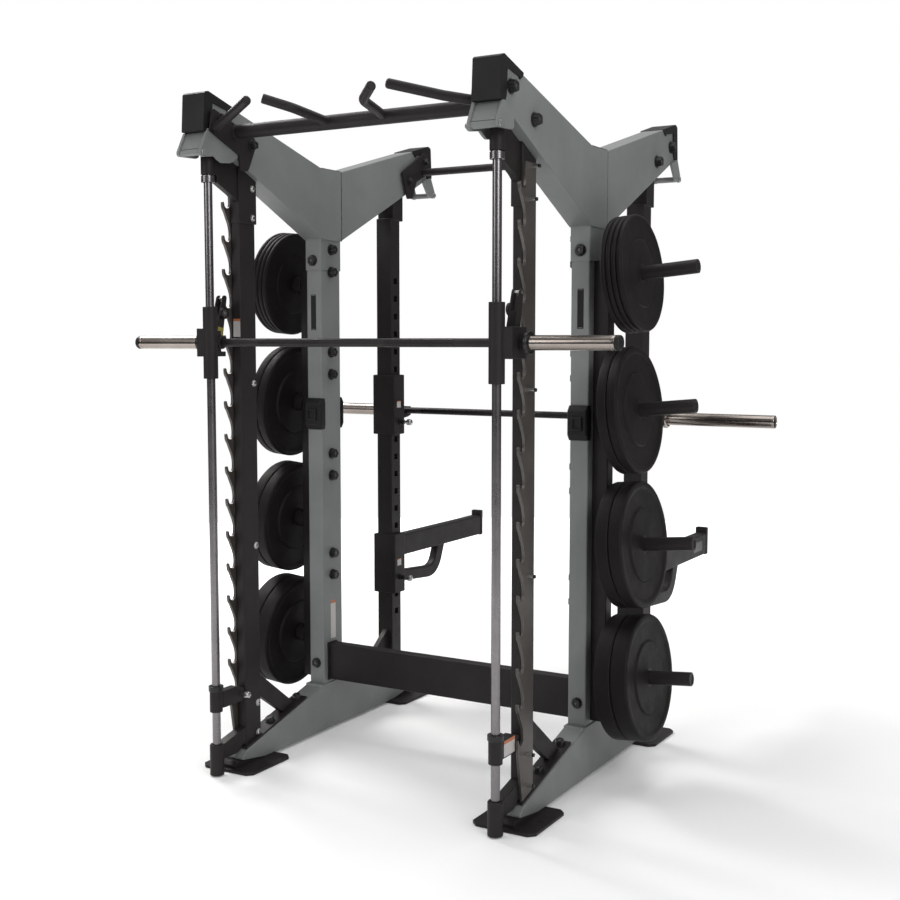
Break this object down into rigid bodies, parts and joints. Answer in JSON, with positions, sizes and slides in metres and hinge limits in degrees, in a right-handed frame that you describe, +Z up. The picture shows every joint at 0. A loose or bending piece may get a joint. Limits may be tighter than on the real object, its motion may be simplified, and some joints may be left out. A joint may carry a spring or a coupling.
{
  "type": "smith machine",
  "caption": "Half-rack smith machine: self-latching bar on guide rods with hook racks, pull-up grips, plate storage horns, J-hooks, spotter arms and a free barbell.",
  "frame": {"origin": "on the floor, under the middle of the whole machine", "axes": "+X across the machine to its right side seen from the guide rods, +Y from the guide rods to the rear rack, +Z up"},
  "size_m": [2.2, 2.1558, 2.4555],
  "materials": {
    "grey_paint": "satin powder coat with fine texture",
    "dark_paint": "matt textured powder coat",
    "rack_steel": "dark blackened steel plate",
    "chrome": "satin hard chrome",
    "black_plastic": "moulded, fine texture",
    "rubber": "matt black rubber",
    "zinc": "bright zinc plate"
  },
  "bodies": {
    "frame": {"column_R": "grey_paint", "column_L": "grey_paint", "top_yoke_R": "grey_paint", "top_yoke_L": "grey_paint", "front_cap_R": "black_plastic", "front_cap_L": "black_plastic", "rear_cap_R": "black_plastic", "rear_cap_L": "black_plastic", "base_leg_R": "grey_paint", "base_leg_L": "grey_paint", "front_foot_R": "dark_paint", "front_foot_L": "dark_paint", "rear_foot_R": "dark_paint", "rear_foot_L": "dark_paint", "front_upright_R": "dark_paint", "front_upright_L": "dark_paint", "hook_rack_R": "rack_steel", "hook_rack_L": "rack_steel", "guide_rod_R": "chrome", "guide_rod_L": "chrome", "rod_socket_R": "dark_paint", "rod_socket_L": "dark_paint", "rear_upright_R": "dark_paint", "rear_upright_L": "dark_paint", "storage_post_R": "dark_paint", "storage_post_L": "dark_paint", "lower_beam": "dark_paint", "pullup_bar": "dark_paint", "rear_crossbar": "dark_paint"},
    "carriage": {"carriage_R": "dark_paint", "carriage_L": "dark_paint"},
    "smith_bar": {"smith_bar": "dark_paint", "latch_R": "dark_paint", "latch_L": "dark_paint"},
    "smith_sleeve_R": {"smith_sleeve_R": "chrome"},
    "smith_sleeve_L": {"smith_sleeve_L": "chrome"},
    "rod_stop_R": {"rod_stop_R": "dark_paint"},
    "stop_pin_R": {"stop_pin_R": "zinc"},
    "rod_stop_L": {"rod_stop_L": "dark_paint"},
    "stop_pin_L": {"stop_pin_L": "zinc"},
    "j_hook_R": {"j_hook_R": "dark_paint"},
    "j_hook_pin_R": {"j_hook_pin_R": "zinc"},
    "spotter_arm_R": {"spotter_arm_R": "dark_paint"},
    "spotter_pin_R": {"spotter_pin_R": "zinc"},
    "j_hook_L": {"j_hook_L": "dark_paint"},
    "j_hook_pin_L": {"j_hook_pin_L": "zinc"},
    "spotter_arm_L": {"spotter_arm_L": "dark_paint"},
    "spotter_pin_L": {"spotter_pin_L": "zinc"},
    "barbell": {"barbell_shaft": "dark_paint"},
    "barbell_sleeve_R": {"barbell_sleeve_R": "chrome"},
    "barbell_sleeve_L": {"barbell_sleeve_L": "chrome"},
    "plates_1_R": {"plates_1_R": "rubber"},
    "plates_1_L": {"plates_1_L": "rubber"},
    "plates_2_R": {"plates_2_R": "rubber"},
    "plates_2_L": {"plates_2_L": "rubber"},
    "plates_3_R": {"plates_3_R": "rubber"},
    "plates_3_L": {"plates_3_L": "rubber"},
    "plates_4_R": {"plates_4_R": "rubber"},
    "plates_4_L": {"plates_4_L": "rubber"}
  },
  "joints": [
    {"name": "carriage_slide", "type": "slide", "parent": "frame", "child": "carriage", "axis": [0, 0, 1], "range_m": [-0.9624, 0.3609]},
    {"name": "bar_turn", "type": "hinge", "parent": "carriage", "child": "smith_bar", "pos_m": [0, -0.85315, 1.5865], "axis": [-1, 0, 0], "range_deg": [-12, 12.5]},
    {"name": "smith_sleeve_turn_R", "type": "hinge", "parent": "smith_bar", "child": "smith_sleeve_R", "pos_m": [0.8137, -0.85315, 1.5865], "axis": [1, 0, 0], "continuous": true},
    {"name": "smith_sleeve_turn_L", "type": "hinge", "parent": "smith_bar", "child": "smith_sleeve_L", "pos_m": [-0.8137, -0.85315, 1.5865], "axis": [1, 0, 0], "continuous": true},
    {"name": "rod_stop_slide_R", "type": "slide", "parent": "frame", "child": "rod_stop_R", "axis": [0, 0, 1], "range_m": [0, 0.1203]},
    {"name": "stop_pin_slide_R", "type": "slide", "parent": "rod_stop_R", "child": "stop_pin_R", "axis": [1, 0, 0], "range_m": [0, 0.014]},
    {"name": "rod_stop_slide_L", "type": "slide", "parent": "frame", "child": "rod_stop_L", "axis": [0, 0, 1], "range_m": [0, 0.1203]},
    {"name": "stop_pin_slide_L", "type": "slide", "parent": "rod_stop_L", "child": "stop_pin_L", "axis": [-1, 0, 0], "range_m": [0, 0.014]},
    {"name": "j_hook_slide_R", "type": "slide", "parent": "frame", "child": "j_hook_R", "axis": [0, 0, 1], "range_m": [-0.2286, 0]},
    {"name": "j_hook_pin_slide_R", "type": "slide", "parent": "j_hook_R", "child": "j_hook_pin_R", "axis": [1, 0, 0], "range_m": [0, 0.014]},
    {"name": "spotter_arm_slide_R", "type": "slide", "parent": "frame", "child": "spotter_arm_R", "axis": [0, 0, 1], "range_m": [-0.0762, 0.1524]},
    {"name": "spotter_pin_slide_R", "type": "slide", "parent": "spotter_arm_R", "child": "spotter_pin_R", "axis": [1, 0, 0], "range_m": [0, 0.014]},
    {"name": "j_hook_slide_L", "type": "slide", "parent": "frame", "child": "j_hook_L", "axis": [0, 0, 1], "range_m": [-0.2286, 0]},
    {"name": "j_hook_pin_slide_L", "type": "slide", "parent": "j_hook_L", "child": "j_hook_pin_L", "axis": [-1, 0, 0], "range_m": [0, 0.014]},
    {"name": "spotter_arm_slide_L", "type": "slide", "parent": "frame", "child": "spotter_arm_L", "axis": [0, 0, 1], "range_m": [-0.0762, 0.1524]},
    {"name": "spotter_pin_slide_L", "type": "slide", "parent": "spotter_arm_L", "child": "spotter_pin_L", "axis": [-1, 0, 0], "range_m": [0, 0.014]},
    {"name": "barbell_lift", "type": "slide", "parent": "frame", "child": "barbell", "axis": [0, 0, 1], "range_m": [0, 0.25]},
    {"name": "barbell_sleeve_turn_R", "type": "hinge", "parent": "barbell", "child": "barbell_sleeve_R", "pos_m": [0.8775, 0.36685, 1.285], "axis": [1, 0, 0], "continuous": true},
    {"name": "barbell_sleeve_turn_L", "type": "hinge", "parent": "barbell", "child": "barbell_sleeve_L", "pos_m": [-0.8775, 0.36685, 1.285], "axis": [1, 0, 0], "continuous": true},
    {"name": "plates_1_slide_R", "type": "slide", "parent": "frame", "child": "plates_1_R", "axis": [0.9957, 0, 0.0924], "range_m": [0, 0.26]},
    {"name": "plates_1_slide_L", "type": "slide", "parent": "frame", "child": "plates_1_L", "axis": [-0.9957, 0, 0.0924], "range_m": [0, 0.26]},
    {"name": "plates_2_slide_R", "type": "slide", "parent": "frame", "child": "plates_2_R", "axis": [0.9957, 0, 0.0924], "range_m": [0, 0.26]},
    {"name": "plates_2_slide_L", "type": "slide", "parent": "frame", "child": "plates_2_L", "axis": [-0.9957, 0, 0.0924], "range_m": [0, 0.26]},
    {"name": "plates_3_slide_R", "type": "slide", "parent": "frame", "child": "plates_3_R", "axis": [0.9957, 0, 0.0924], "range_m": [0, 0.26]},
    {"name": "plates_3_slide_L", "type": "slide", "parent": "frame", "child": "plates_3_L", "axis": [-0.9957, 0, 0.0924], "range_m": [0, 0.26]},
    {"name": "plates_4_slide_R", "type": "slide", "parent": "frame", "child": "plates_4_R", "axis": [0.9957, 0, 0.0924], "range_m": [0, 0.26]},
    {"name": "plates_4_slide_L", "type": "slide", "parent": "frame", "child": "plates_4_L", "axis": [-0.9957, 0, 0.0924], "range_m": [0, 0.26]}
  ]
}
